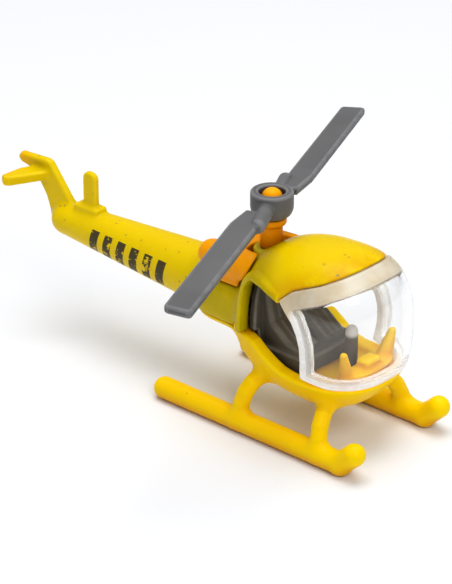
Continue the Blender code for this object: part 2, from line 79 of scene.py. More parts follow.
SILL = [(2.2, 15.0), (4.0, 14.7), (6.6, 13.0), (8.8, 11.7), (11.4, 11.2)]
SEAM_Z = 14.0  # body to base joint behind the door

# Tail
BOOM_Z, BOOM_END_Z = 16.9, 17.2
BOOM_REAR, BOOM_FRONT = -42.4, -4.0
BOOM_REAR_R, BOOM_FRONT_R = 2.6, 5.2
NECK_X, NECK_HALF, NECK_RADIUS = -4.8, (6.0, 5.7, 4.2), 3.0
DECK_REAR, DECK_Z = -11.0, 20.3
TONGUE_REAR, TONGUE_FRONT = -10.5, 6.0  # the base's tongue under the boom
ARCH_BACK = -1.8  # where the seam steps up to the arch's foot
FIN_THICK = 1.3
FIN = [(-39.0, 18.6), (-40.85, 20.2), (-45.5, 26.0), (-46.4, 26.25), (-52.1, 25.9), (-52.75, 25.0),
       (-52.1, 24.2), (-49.8, 23.75), (-47.9, 21.9), (-46.6, 20.0), (-45.9, 18.0), (-45.3, 15.8),
       (-44.0, 14.5), (-41.0, 15.5)]
STABILISER = [(-45.4, 0.0), (-46.3, -1.6), (-48.7, -6.5), (-49.6, -6.9), (-50.5, -6.3), (-50.4, -2.5),
              (-49.3, 0.0)]
STABILISER_Z, STABILISER_THICK = 23.6, 1.6
MOUND_CENTRE, MOUND_HALF = (-37.35, 0, 19.3), (2.5, 1.3, 1.8)
TAIL_BLADE_X, TAIL_BLADE_FOOT, TAIL_BLADE_TOP = -37.15, 18.0, 26.6
TAIL_BLADE_WIDE, TAIL_BLADE_THICK = 2.75, 1.1
TAIL_BLADE_CORE, TAIL_BLADE_ROUND = 0.2, 1.15  # half width of the outline's core, its distance from the top

# Undercarriage
SKID_Y, SKID_Z, SKID_R = 9.7, 1.62, 1.7
SKID_REAR, SKID_FRONT = -12.6, 21.9
SKID_TIP = (24.35, 3.95)
STRUT_R = 1.25
STRUTS = [((5.0, 5.0, 9.2), (3.0, 9.8, 8.6), (2.3, 9.7, 2.0)),  # top, bend and foot of each
          ((15.8, 4.4, 8.2), (17.1, 9.4, 7.4), (17.7, 9.7, 2.0))]
STRUT_PIECES = 5

# Rotor and its drive
ROTOR_R, BLADE_CHORD, BLADE_THICK, BLADE_Z = 37.8, 4.05, 1.3, 32.6
BLADE_PITCH = 5.0  # degrees
BLADE_ROOT, BLADE_SKEW = 9.0, 0.031
ROTOR_TURN = -68.5  # degrees from +X to the starboard blade
BLADE_CORNER, BLADE_CORNER_IN = 0.6, 0.17  # a tip corner's size, and how far its middle lies inside
HUB_R, HUB_BORE, HUB_LOW, HUB_HIGH, HUB_FLOOR = 3.2, 2.0, 30.9, 34.7, 1.3
HUB_CHAMFER, HUB_CHAMFER_SLOPE = 0.55, 0.6
ARM_START = (HUB_R - 0.6, 0.1, BLADE_Z)  # along the blade, across it, up
ARM_END = (BLADE_ROOT - 0.6, 0.9, BLADE_Z + 0.15)
ARM_R, ARM_END_R = 1.2, 1.1
PIN_HEAD_R, PIN_TOP, PIN_SHAFT_R = 1.6, 35.1, 1.0
MAST_R, MAST_LOW, MAST_HIGH, COLLAR_R = 1.75, 25.9, 30.6, 2.2
COLLAR_LOW, COLLAR_SLOPE_LOW = 0.8, 1.45  # below the mast's top
PEDESTAL_R, PEDESTAL_MIDDLE, PEDESTAL_ROOM = 2.7, 23.0, 1.0
POD_Y, POD_Z, POD_REAR, POD_FRONT, POD_R, POD_FRONT_R = 4.1, 23.6, -8.0, 0.1, 2.1, 2.6
SKIRT_CENTRE, SKIRT_HALF = (-4.3, POD_Y - 0.2, 21.9), (2.9, 1.9, 1.4)
SADDLE_CENTRE, SADDLE_HALF = (-5.6, 0, 22.6), (3.2, 4.6, 2.4)
ROOF_ROOM = 0.2  # between the engine and the roof, beyond the seam

# Cabin fittings
BULKHEAD_CENTRE, BULKHEAD_HALF = (2.4, 0, 16.5), (0.8, 20, 6.6)
SEAT = [(2.2, 10.6), (2.2, 22.2), (3.9, 22.2), (5.2, 17.0), (7.7, 15.0), (9.6, 13.8), (10.2, 12.4),
        (9.6, 10.6)]
SEAT_HALF, SEAT_SPLIT = 2.6, 0.3
SEAT_RIB, SEAT_RIB_PITCH = 0.09, 1.3
TRAY_CENTRE, TRAY_HALF = (7.2, 0, 12.0), (4.6, 6.2, 1.3)
SILL_TOP = 15.6  # above this, the cabin fittings reach to the roof's thinner wall
# the last is the height where the stick's painted highlight starts
STICK_X, STICK_R, STICK_TOP, STICK_HIGHLIGHT_Z = 15.5, 0.95, 18.1, 16.6
DESK_CENTRE, DESK_HALF = (18.7, 0, 11.6), (1.9, 5.0, 1.1)
HUMP_CENTRE, HUMP_HALF = (18.7, 0, 12.9), (1.2, 1.6, 1.3)
EAR_FOOT, EAR_TIP, EAR_R, EAR_TIP_R = (18.0, 4.0, 12.0), (18.5, 5.4, 16.2), 1.1, 0.55
RIVETS = {"front_rivet": (9.5, 6.2, 7.2), "rear_rivet": (-6.5, 11.9, 12.5)}  # x, underside, top of the head
RIVET_HEAD_R, RIVET_EDGE, RIVET_FLAT = 1.7, 0.4, 0.9  # head, its edge's rounding, edge to flat middle

# Looks
GRID = 0.2  # cells of the meshed fields
TAIL_TINT = (-48.6, -51.5)  # the tail turns orange between these places along the toy
BARS_START, BARS_PITCH, BARS_COUNT, BARS_SHARE = -38.4, 3.0, 6, 0.58  # start is that of the row at z = 0
BARS_LEAN, BARS_Z, BARS_HALF = -0.22, 16.6, 2.15
RIM_FADE, BAND_FADE, LIP_FADE, DOOR_SHADE = 0.25, 0.3, 3.0, 1.8  # widths over which marks fade, the last that of the painted shade round the doorway
LIP_FROM, SHADE_TO = 3.0, 9.0  # along the toy, the second where the painted shade stops
CAMERA_PLACE, CAMERA_AIM = (242.274, -278.281, 200.340), (-0.60097, 0.66554, -0.44259)
CAMERA_LENS, CAMERA_SENSOR = 171.77, 36.0
FLOOR_HALF, FLOOR_DROP = 3.0, 0.00005  # metres, as are the lamps' places, aims and sizes
LAMPS = [("key", (0.42, -0.20, 0.42), (0.0, 0.0, 0.015), 0.30, 1.25),
         ("top", (-0.05, 0.05, 0.60), (0.0, 0.0, 0.02), 0.45, 2.75),
         ("side", (-0.35, -0.45, 0.22), (0.0, 0.0, 0.015), 0.30, 0.08)]  # name, place, aim, size, watts
SKY_LOW, SKY_HIGH, SKY_TOP = 0.10, 0.42, 0.55  # strength at the horizon and above this height

# Distance fields

def fade(value, start, end):
    """A straight ramp from 0 at start to 1 at end."""
    return np.clip((value - start) / (end - start), 0.0, 1.0)


def union(a, b, blend=0.0):
    if not blend:
        return np.minimum(a, b)
    h = np.maximum(blend - np.abs(a - b), 0.0) / blend
    return np.minimum(a, b) - h * h * blend / 4


def common(a, b, blend=0.3):
    return -union(-a, -b, blend)


def cut(a, b, blend=0.3):
    return common(a, -b, blend)


def tapered_rod(x, y, z, start, end, start_r, end_r):
    axis = [e - s for s, e in zip(start, end)]
    along = (x - start[0]) * axis[0] + (y - start[1]) * axis[1] + (z - start[2]) * axis[2]
    t = np.clip(along / sum(a * a for a in axis), 0.0, 1.0)
    dx, dy, dz = x - start[0] - t * axis[0], y - start[1] - t * axis[1], z - start[2] - t * axis[2]
    return np.sqrt(dx * dx + dy * dy + dz * dz) - start_r - t * (end_r - start_r)


def curve(start, bend, end, pieces):
    """Points of a parabola that leaves start towards bend and arrives at end from it."""
    t = np.linspace(0, 1, pieces + 1)[:, None]
    return (1 - t) ** 2 * np.array(start) + 2 * t * (1 - t) * np.array(bend) + t ** 2 * np.array(end)


def block(x, y, z, centre, half, radius):
    q = [np.abs(v - c) - h + radius for v, c, h in zip((x, y, z), centre, half)]
    outside = np.sqrt(sum(np.maximum(v, 0.0) ** 2 for v in q))
    return outside + np.minimum(np.maximum(np.maximum(q[0], q[1]), q[2]), 0.0) - radius


def disc(x, y, z, centre, radius, half, rounding):
    """Upright cylinder."""
    r = np.hypot(x - centre[0], y - centre[1]) - radius + rounding
    h = np.abs(z - centre[2]) - half + rounding
    return np.hypot(np.maximum(r, 0), np.maximum(h, 0)) + np.minimum(np.maximum(r, h), 0) - rounding


def polygon(u, v, outline):
    """Distance to a closed outline, below 0 inside it."""
    best, sign = np.inf, 1.0
    for (ax, ay), (bx, by) in zip(outline, outline[-1:] + outline[:-1]):
        ex, ey, wx, wy = bx - ax, by - ay, u - ax, v - ay
        t = np.clip((wx * ex + wy * ey) / (ex * ex + ey * ey), 0.0, 1.0)
        best = np.minimum(best, (wx - ex * t) ** 2 + (wy - ey * t) ** 2)
        above, below, left = v >= ay, v < by, ex * wy > ey * wx
        crosses = (above & below & left) | (~above & ~below & ~left)
        sign = np.where(crosses, -sign, sign)
    return sign * np.sqrt(best)


def plate(flat, across, half, rounding):
    """A flat outline's distance given thickness, with rounded edges."""
    a, b = flat + rounding, np.abs(across) - half + rounding
    return np.hypot(np.maximum(a, 0), np.maximum(b, 0)) + np.minimum(np.maximum(a, b), 0) - rounding


def cabin(x, y, z):
    """The cabin's outside: a super-ellipsoid whose roof and chin rise towards the nose."""
    p = CABIN_POWER
    rise = ROOF_TILT * fade(z, *ROOF_TILT_FADE) * (x - CABIN_X)
    rise = rise + CHIN_TILT * fade(z, *CHIN_TILT_FADE) * np.maximum(x - CABIN_X, 0.0)
    z = z - rise
    low = fade(z, *TAIL_FADE)
    tail = CABIN_TAIL + TUB_TAIL * low * low * (3 - 2 * low)
    length = np.where(x > CABIN_X, CABIN_NOSE, tail)
    height = np.where(z > CABIN_Z, CABIN_TOP, CABIN_LOW)
    u = np.abs(x - CABIN_X) / length + TINY
    v = np.abs(y) / CABIN_WIDTH + TINY
    w = np.abs(z - CABIN_Z) / height + TINY
    k = (u ** p + v ** p + w ** p) ** (1 / p)
    slope = np.sqrt((u ** (p - 1) / length) ** 2 + (v ** (p - 1) / CABIN_WIDTH) ** 2
                    + (w ** (p - 1) / height) ** 2)
    return (k - 1) / slope * k ** (p - 1)


# Outlines seen from the side

def door(x, z):
    rear, top = DOOR_REAR + DOOR_RADIUS, DOOR_TOP - DOOR_RADIUS
    return polygon(x, z, [(rear, DOOR_LOW), (rear, top), (DOOR_BREAK, top), (DOOR_FRONT, top - DOOR_FALL),
                          (DOOR_FRONT, DOOR_LOW)]) - DOOR_RADIUS


def roof_region(x, z):
    return polygon(x, z, [(FAR_BACK, ARCH_FOOT), (ARCH_FRONT, ARCH_FOOT)] + ROOF_EDGE + ROOF_TOP)


def under_roof(x, z):
    """How far below the roof's edge a point lies."""
    return polygon(x, z, [(FAR_BACK, 5.0), (9.0, 5.0)] + ROOF_EDGE + ROOF_TOP)


def bubble_region(x, z):
    edge = [(px, pz - ROOF_SEAM) for px, pz in ROOF_EDGE]
    front = [(BUBBLE_FOOT, BUBBLE_LOW), (FAR_AHEAD, BUBBLE_LOW), (FAR_AHEAD, BUBBLE_HIGH)]
    return polygon(x, z, BUBBLE_REAR + front + edge[::-1])


def rim_inside(x, z):
    """Below 0 in the thin part of the bubble, inside its rim."""
    return np.maximum(bubble_region(x, z) + BUBBLE_RIM, BUBBLE_TOP_RIM - under_roof(x, z))


def below_sill(x, z):
    rim = [(FAR_BACK, SEAM_Z - GAP), (ARCH_BACK, SEAM_Z - GAP), (ARCH_BACK, ARCH_FOOT - GAP)] + SILL
    return polygon(x, z, rim + [(FAR_AHEAD, BUBBLE_LOW - GAP), (FAR_AHEAD, FAR_DOWN), (FAR_BACK, FAR_DOWN)])


# Pieces

def tail_boom(x, y, z):
    rear, front = (BOOM_REAR, 0, BOOM_END_Z), (BOOM_FRONT, 0, BOOM_Z)
    boom = tapered_rod(x, y, z, rear, front, BOOM_REAR_R, BOOM_FRONT_R)
    neck = block(x, y, z, (NECK_X, 0, BOOM_Z), NECK_HALF, NECK_RADIUS)
    return union(boom, neck, 3.0)


def body_casting(x, y, z):
    outer = cabin(x, y, z)
    shell = common(outer, -(outer + ROOF_WALL))
    shell = common(shell, roof_region(x, z), 0.5)
    shell = cut(shell, door(x, z), 0.4)
    proud = ARCH_PROUD * np.maximum(fade(x, *ARCH_FADE), ARCH_LEAST)
    arch = common(outer - proud, -(outer + ROOF_WALL))
    arch = common(arch, door(x, z) - ARCH_WIDTH, 0.5)
    arch = cut(arch, door(x, z), 0.4)
    arch = common(common(arch, ARCH_FOOT - z), x - ARCH_FRONT)
    rear = cut(tail_boom(x, y, z), outer + ROOF_WALL / 2)
    rear = cut(rear, np.maximum(DECK_REAR - x, DECK_Z - z), 0.5)
    rear = cut(rear, np.maximum(TONGUE_REAR - x, z - SEAM_Z))
    rear = cut(rear, np.maximum(ARCH_BACK - GAP - x, z - ARCH_FOOT))
    whole = union(union(shell, arch, 0.3), rear, 0.8)
    pedestal = disc(x, y, z, (0, 0, PEDESTAL_MIDDLE), PEDESTAL_R, MAST_LOW - GAP - PEDESTAL_MIDDLE, 0.4)
    whole = union(whole, cut(pedestal, outer + ROOF_WALL / 2), 1.2)
    whole = cut(whole, np.maximum(np.hypot(x, y) - MAST_R - GAP, MAST_LOW - GAP - z))
    fin = plate(polygon(x, z, FIN), y, FIN_THICK / 2, 0.5)
    whole = union(whole, fin, 1.0)
    wing = plate(polygon(x, y, STABILISER), z - STABILISER_Z, STABILISER_THICK / 2, 0.45)
    whole = union(whole, wing, 0.6)
    mound = block(x, y, z, MOUND_CENTRE, MOUND_HALF, 0.5)
    whole = union(whole, mound, 0.6)
    rear, front = TAIL_BLADE_X - TAIL_BLADE_CORE, TAIL_BLADE_X + TAIL_BLADE_CORE
    top = TAIL_BLADE_TOP - TAIL_BLADE_ROUND
    core = [(rear, TAIL_BLADE_FOOT), (rear, top), (front, top), (front, TAIL_BLADE_FOOT)]
    blade = plate(polygon(x, z, core) - TAIL_BLADE_WIDE / 2 + TAIL_BLADE_CORE, y, TAIL_BLADE_THICK / 2, 0.4)
    return union(whole, blade, 0.6)


def base_and_skids(x, y, z):
    y = np.abs(y)
    outer = cabin(x, y, z)
    proud = CHIN_PROUD * fade(x, *CHIN_FADE)
    tub = union(outer - proud, common(tail_boom(x, y, z), x - TONGUE_FRONT), 1.5)
    tub = common(tub, below_sill(x, z), 0.5)
    tub = common(tub, TONGUE_REAR + GAP - x, 0.5)
    rear, front = (SKID_REAR, SKID_Y, SKID_Z), (SKID_FRONT, SKID_Y, SKID_Z)
    bent, end = (SKID_FRONT, SKID_Y, SKID_Z + 0.1), (SKID_TIP[0], SKID_Y, SKID_TIP[1])
    skid = union(tapered_rod(x, y, z, rear, front, SKID_R, SKID_R),
                 tapered_rod(x, y, z, bent, end, SKID_R, SKID_R), 0.6)
    legs = np.inf
    for top, bend, foot in STRUTS:
        path = curve(top, bend, foot, STRUT_PIECES)
        for start, end in zip(path, path[1:]):
            legs = union(legs, tapered_rod(x, y, z, start, end, STRUT_R, STRUT_R))
    whole = union(union(tub, legs, 1.6), skid, 1.2)
    whole = cut(whole, common(outer + TUB_WALL, TUB_FLOOR - z, 0.6), 0.5)
    for where, _, high in RIVETS.values():
        whole = cut(whole, np.maximum(np.hypot(x - where, y) - RIVET_HEAD_R - GAP, z - high - GAP), 0.3)
    return common(whole, -z, 0.25)


def engine_block(x, y, z):
    y = np.abs(y)
    pod = tapered_rod(x, y, z, (POD_REAR, POD_Y, POD_Z), (POD_FRONT, POD_Y, POD_Z), POD_R, POD_FRONT_R)
    skirt = block(x, y, z, SKIRT_CENTRE, SKIRT_HALF, 0.4)
    saddle = block(x, y, z, SADDLE_CENTRE, SADDLE_HALF, 1.0)
    whole = union(union(pod, skirt, 0.8), saddle, 0.8)
    whole = cut(whole, tail_boom(x, y, z) - GAP, 0.2)
    whole = common(whole, DECK_Z + GAP - z, 0.2)
    whole = cut(whole, cabin(x, y, z) - GAP - ROOF_ROOM, 0.3)
    return cut(whole, np.hypot(x, y) - PEDESTAL_R - GAP - PEDESTAL_ROOM, 0.3)


def canopy(x, y, z):
    outer = cabin(x, y, z) - BUBBLE_PROUD
    region = bubble_region(x, z)
    wall = common(outer, -(outer + BUBBLE_WALL), 0.2)
    rim = common(common(outer, -(outer + BUBBLE_RIM_WALL), 0.2), -rim_inside(x, z), 0.4)
    return common(union(wall, rim, 0.3), region, 0.3)


def cabin_interior(x, y, z):
    y = np.abs(y)
    room = cabin(x, y, z) + ROOF_WALL + GAP
    tub = cabin(x, y, z) + TUB_WALL + GAP
    wall = block(x, y, z, BULKHEAD_CENTRE, BULKHEAD_HALF, 0.2)
    ribs = SEAT_RIB * np.cos(2 * np.pi * y / SEAT_RIB_PITCH)
    seat = plate(polygon(x, z, SEAT), y - SEAT_HALF - SEAT_SPLIT, SEAT_HALF, 0.9) - ribs
    tray = block(x, y, z, TRAY_CENTRE, TRAY_HALF, 0.4)
    whole = union(union(wall, seat, 0.4), tray, 0.4)
    whole = common(whole, room, 0.3)
    whole = common(whole, np.where(z < SILL_TOP, tub, room), 0.3)
    return common(whole, TUB_FLOOR + GAP - z, 0.2)


def front_console(x, y, z):
    y = np.abs(y)
    desk = block(x, y, z, DESK_CENTRE, DESK_HALF, 0.5)
    ear = tapered_rod(x, y, z, EAR_FOOT, EAR_TIP, EAR_R, EAR_TIP_R)
    hump = block(x, y, z, HUMP_CENTRE, HUMP_HALF, 0.6)
    whole = union(union(desk, ear, 0.8), hump, 0.8)
    whole = common(whole, cabin(x, y, z) + TUB_WALL + GAP, 0.3)
    return common(whole, TUB_FLOOR + GAP - z, 0.2)


def main_rotor(x, y, z):
    turn = np.radians(ROTOR_TURN)
    along = x * np.cos(turn) + y * np.sin(turn)
    side = -x * np.sin(turn) + y * np.cos(turn)
    along, side = np.where(along < 0, -along, along), np.where(along < 0, -side, side)
    half = BLADE_CHORD / 2
    pitch = np.tan(np.radians(BLADE_PITCH))
    chordwise = side + BLADE_SKEW * (ROTOR_R - along)
    tip = [(ROTOR_R - BLADE_CORNER, half), (ROTOR_R - BLADE_CORNER_IN, half - BLADE_CORNER_IN),
           (ROTOR_R, half - BLADE_CORNER)]
    outline = [(BLADE_ROOT - 0.2, half * 0.35), (BLADE_ROOT + 0.3, half), *tip,
               *[(u, -v) for u, v in tip[::-1]], (BLADE_ROOT + 0.8, -half),
               (BLADE_ROOT - 4.2, -half * 0.62), (BLADE_ROOT - 4.5, half * 0.3)]
    blade = plate(polygon(along, chordwise, outline), z - BLADE_Z + side * pitch, BLADE_THICK / 2, 0.45)
    arm = tapered_rod(along, side, z, ARM_START, ARM_END, ARM_R, ARM_END_R)
    hub = disc(x, y, z, (0, 0, (HUB_LOW + HUB_HIGH) / 2), HUB_R, (HUB_HIGH - HUB_LOW) / 2, 0.35)
    chamfer = np.hypot(x, y) - HUB_R + HUB_CHAMFER - (z - HUB_LOW) * HUB_CHAMFER_SLOPE
    hub = common(hub, chamfer * 0.85, 0.3)  # scaled to be a distance again
    whole = union(union(blade, arm, 0.5), hub, 0.6)
    cup = np.maximum(np.hypot(x, y) - HUB_BORE, HUB_LOW + HUB_FLOOR - z)
    whole = cut(whole, cup, 0.3)
    return cut(whole, np.hypot(x, y) - PIN_SHAFT_R - GAP, 0.15)


# Meshes

def surface(field, low, high, step):
    """Quads of the closed surface where the field is zero, one vertex in each grid cell that it crosses."""
    axes = [np.arange(a - 1.5 * step, b + 2.5 * step, step) for a, b in zip(low, high)]
    x, y, z = np.meshgrid(*axes, indexing="ij", sparse=True)
    values = np.broadcast_to(field(x, y, z), [len(a) for a in axes]).copy()
    filled = fill_pinches(values, step)
    cells = [len(a) - 1 for a in axes]
    corners = [(i, j, k) for i in (0, 1) for j in (0, 1) for k in (0, 1)]

    def at(c, grid=values):
        return grid[c[0]:c[0] + cells[0], c[1]:c[1] + cells[1], c[2]:c[2] + cells[2]]

    inside = sum((at(c) < 0).astype(np.int8) for c in corners)
    mixed = (inside > 0) & (inside < 8)
    number = np.full(mixed.shape, -1)
    number[mixed] = np.arange(mixed.sum())
    total, hits = np.zeros((mixed.sum(), 3)), np.zeros(mixed.sum())
    for a in corners:
        for axis in range(3):
            if a[axis]:
                continue
            b = tuple(v + (i == axis) for i, v in enumerate(a))
            fa, fb = at(a)[mixed], at(b)[mixed]
            crossed = (fa < 0) != (fb < 0)
            t = np.where(crossed, fa / np.where(crossed, fa - fb, 1.0), 0.0)
            spot = np.array(a, float) + t[:, None] * np.eye(3)[axis]
            total[crossed] += spot[crossed]
            hits += crossed
    origin = np.array([a[0] for a in axes])
    start = origin + (np.argwhere(mixed) + total / hits[:, None]) * step
    held = sum(at(c, filled)[mixed] for c in corners) > 0
    points = np.where(held[:, None], start, settle(field, start, step))
    quads = []
    for axis in range(3):
        b, c = (axis + 1) % 3, (axis + 2) % 3
        here = [slice(0, n) for n in cells]
        here[b], here[c] = slice(1, cells[b]), slice(1, cells[c])
        there = list(here)
        there[axis] = slice(1, cells[axis] + 1)
        first, second = values[tuple(here)] < 0, values[tuple(there)] < 0

        def cell(db, dc):
            spot = list(here)
            spot[b], spot[c] = slice(1 - db, cells[b] - db), slice(1 - dc, cells[c] - dc)
            return number[tuple(spot)]

        ring = np.stack([cell(1, 1), cell(0, 1), cell(0, 0), cell(1, 0)], axis=-1)
        quads.append(ring[first & ~second])
        quads.append(ring[~first & second][:, ::-1])
    return points, np.concatenate(quads)


def fill_pinches(values, step):
    """Fills grid points where two diagonal neighbours would touch along one edge only.

    Returns which points it filled.
    """
    filled = np.zeros(values.shape, bool)
    while True:
        pinched = 0
        for a, b in ((0, 1), (0, 2), (1, 2)):
            views = []
            for da, db in ((0, 0), (1, 0), (1, 1), (0, 1)):
                spot = [slice(None)] * 3
                spot[a], spot[b] = slice(da, values.shape[a] - 1 + da), slice(db, values.shape[b] - 1 + db)
                views.append((values[tuple(spot)], filled[tuple(spot)]))
            inside = [v < 0 for v, _ in views]
            crossed = (inside[0] == inside[2]) & (inside[1] == inside[3]) & (inside[0] != inside[1])
            pinched += crossed.sum()
            for (v, f), was_inside in zip(views, inside):
                f[crossed & ~was_inside] = True
                v[crossed & ~was_inside] = -0.05 * step
        if not pinched:
            return filled


def settle(field, points, step, rounds=4):
    """Moves points onto the surface, each staying close to its own cell."""
    start = points.copy()
    h = step * 0.02
    for _ in range(rounds):
        value = field(*points.T)
        slope = np.stack([(field(*(points + h * e).T) - field(*(points - h * e).T)) / (2 * h)
                          for e in np.eye(3)], axis=1)
        move = -value[:, None] * slope / np.maximum((slope ** 2).sum(1), 0.05)[:, None]
        points = start + np.clip(points + move - start, -step * 0.6, step * 0.6)
    return points


# Pieces from the fields

def ridden(name, points, faces, body, node, material, smooth_to=None, bend=None):
    """A smooth-shaded piece in place of the CAD node. Edges above smooth_to degrees stay sharp."""
    mesh = bpy.data.meshes.new(name)
    placed = (np.asarray(points, float) + (MAST_X, 0.0, 0.0)) * MM
    mesh.from_pydata(placed.tolist(), [], [list(f) for f in faces])
    mesh.shade_smooth()
    if smooth_to:
        mesh.set_sharp_from_angle(angle=np.radians(smooth_to))
    mesh.materials.append(material)
    if bend is not None:
        mesh.attributes.new("bend", "FLOAT", "POINT").data.foreach_set("value", np.asarray(bend, np.float32))
    made = bpy.data.objects.new(name, mesh)
    bpy.context.scene.collection.objects.link(made)
    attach(made, body)
    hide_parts(node)
    return made


def moulded(name, field, low, high, step, body, node, material, frame_turn=0.0):
    """The piece that a field describes. frame_turn, in degrees, turns the grid with the piece's long side."""
    c, s = np.cos(np.radians(frame_turn)), np.sin(np.radians(frame_turn))

    def turned_field(x, y, z):
        return field(c * x - s * y, s * x + c * y, z)

    used = turned_field if frame_turn else field
    points, quads = surface(used, low, high, step)
    x, y, z = points.T
    placed = np.stack([c * x - s * y, s * x + c * y, z], axis=1)
    return ridden(name, placed, quads, body, node, material, bend=curvature(used, points))


def curvature(field, points, reach=0.22):
    """How convex the surface is at each point, in 1/mm: above 0 on an outer edge and below 0 in a hollow."""
    around = sum(field(*(points + side * reach * axis).T) for axis in np.eye(3) for side in (-1, 1))
    return (around - 6 * field(*points.T)) / reach ** 2


def mark(made, name, share):
    """Stores a share from 0 to 1 at each vertex, from its place along the toy and its height."""
    places = np.empty(len(made.data.vertices) * 3, np.float32)
    made.data.vertices.foreach_get("co", places)
    x, _, z = (places.reshape(-1, 3) / MM - (MAST_X, 0.0, 0.0)).T
    values = np.clip(share(x, z), 0.0, 1.0).astype(np.float32)
    made.data.attributes.new(name, "FLOAT", "POINT").data.foreach_set("value", values)


def painted_shade(x, z):
    """Where the body's olive shade is painted: round the doorway, on the neck and behind the roof."""
    neck = fade(z, 21.5, 18.5) * fade(x, -14.0, -8.0)
    behind = fade(x, 3.5, -0.5) * fade(x, -9.0, -6.0)
    return np.where(x < SHADE_TO, np.maximum(np.maximum(1.0 - door(x, z) / DOOR_SHADE, neck), behind), 0.0)


def lathe(name, profile, sides, body, node, material, centre=(0.0, 0.0)):
    """A solid of revolution about an upright axis; the profile is (radius, z) from the bottom centre up."""
    angles = np.arange(sides) * 2 * np.pi / sides
    rings = profile[1:-1]
    points = [(centre[0], centre[1], profile[0][1])]
    points += [(centre[0] + r * np.cos(a), centre[1] + r * np.sin(a), z) for r, z in rings for a in angles]
    points += [(centre[0], centre[1], profile[-1][1])]
    faces = [(0, 1 + (i + 1) % sides, 1 + i) for i in range(sides)]
    for k in range(len(rings) - 1):
        low = 1 + k * sides
        faces += [(low + i, low + (i + 1) % sides, low + sides + (i + 1) % sides, low + sides + i)
                  for i in range(sides)]
    last = 1 + (len(rings) - 1) * sides
    faces += [(last + i, last + (i + 1) % sides, len(points) - 1) for i in range(sides)]
    return ridden(name, points, faces, body, node, material, 50)


def arc(centre_r, centre_z, radius, start, end, count=5):
    """Points of an arc in a lathe profile, angles in degrees from outward to up."""
    return [(centre_r + radius * np.cos(a), centre_z + radius * np.sin(a))
            for a in np.radians(np.linspace(start, end, count))]


# Materials

class Shader:
    """A material under construction: add() makes a node and sets or links its inputs."""

    def __init__(self, name):
        self.material = bpy.data.materials.new(name)
        self.material.use_nodes = True
        self.tree = self.material.node_tree
        self.principled = self.tree.nodes["Principled BSDF"]
        self.place = self.add("ShaderNodeTexCoord").outputs["Object"]

    def add(self, kind, inputs=None, **settings):
        node = self.tree.nodes.new(kind)
        for key, value in settings.items():
            setattr(node, key, value)
        self.feed(node, inputs or {})
        return node

    def feed(self, node, inputs):
        for key, value in inputs.items():
            if isinstance(value, bpy.types.NodeSocket):
                self.tree.links.new(value, node.inputs[key])
            else:
                node.inputs[key].default_value = value

    def noise(self, scale, detail=2.0, roughness=0.5, place=None):
        inputs = {"Vector": place or self.place, "Scale": scale, "Detail": detail, "Roughness": roughness}
        return self.add("ShaderNodeTexNoise", inputs).outputs["Fac"]

    def attribute(self, name):
        return self.add("ShaderNodeAttribute", attribute_name=name).outputs["Fac"]

    def axes(self):
        return self.add("ShaderNodeSeparateXYZ", {"Vector": self.place}).outputs

    def stretched(self, scale):
        node = self.add("ShaderNodeVectorMath", {0: self.place, 1: scale}, operation="MULTIPLY")
        return node.outputs["Vector"]

    def span(self, value, low, high, to_low=0.0, to_high=1.0):
        inputs = {"Value": value, "From Min": low, "From Max": high, "To Min": to_low, "To Max": to_high}
        return self.add("ShaderNodeMapRange", inputs).outputs["Result"]

    def math(self, operation, a, b=0.0, c=0.0):
        return self.add("ShaderNodeMath", {0: a, 1: b, 2: c}, operation=operation).outputs["Value"]

    def mix(self, share, a, b):
        node = self.add("ShaderNodeMix", data_type="RGBA")
        for index, value in ((0, share), (6, a), (7, b)):
            if isinstance(value, bpy.types.NodeSocket):
                self.tree.links.new(value, node.inputs[index])
            else:
                node.inputs[index].default_value = value if index == 0 else (*value, 1.0)
        return node.outputs[2]

    def specks(self, scale, size, kept):
        """1 inside dots: size is the largest one's radius in cells, kept the share of cells that hold one."""
        cells = self.add("ShaderNodeTexVoronoi", {"Vector": self.place, "Scale": scale})
        chosen = self.add("ShaderNodeSeparateColor", {"Color": cells.outputs["Color"]})
        radius = self.math("MULTIPLY", chosen.outputs[1], size)
        near = self.math("LESS_THAN", cells.outputs["Distance"], radius)
        return self.math("MULTIPLY", near, self.math("LESS_THAN", chosen.outputs[0], kept))

    def occlusion_shade(self, reach):
        """Painted shade: 1 far inside a recess, 0 on an open surface, from ambient occlusion."""
        open_share = self.add("ShaderNodeAmbientOcclusion", {"Distance": reach}, samples=8).outputs["AO"]
        return self.span(open_share, 0.92, 0.35)

    def edges(self, low, high):
        """1 on a convex edge, for a painted highlight broken up by wear. low and high are curvatures in 1/mm.
        """
        wear = self.span(self.noise(420.0, 3.0), 0.30, 0.55, 0.35, 1.0)
        return self.math("MULTIPLY", self.span(self.attribute("bend"), low, high), wear)

    def finish(self, colour, roughness, bumps, **sockets):
        """Links the colour, roughness and bump, and sets the shader's own constant values."""
        height = None
        for value, strength, depth in bumps:
            inputs = {"Height": value, "Strength": strength, "Distance": depth}
            if height:
                inputs["Normal"] = height
            height = self.add("ShaderNodeBump", inputs).outputs["Normal"]
        sockets.update({"Base Color": colour, "Roughness": roughness, "Normal": height})
        self.feed(self.principled, sockets)
        return self.material


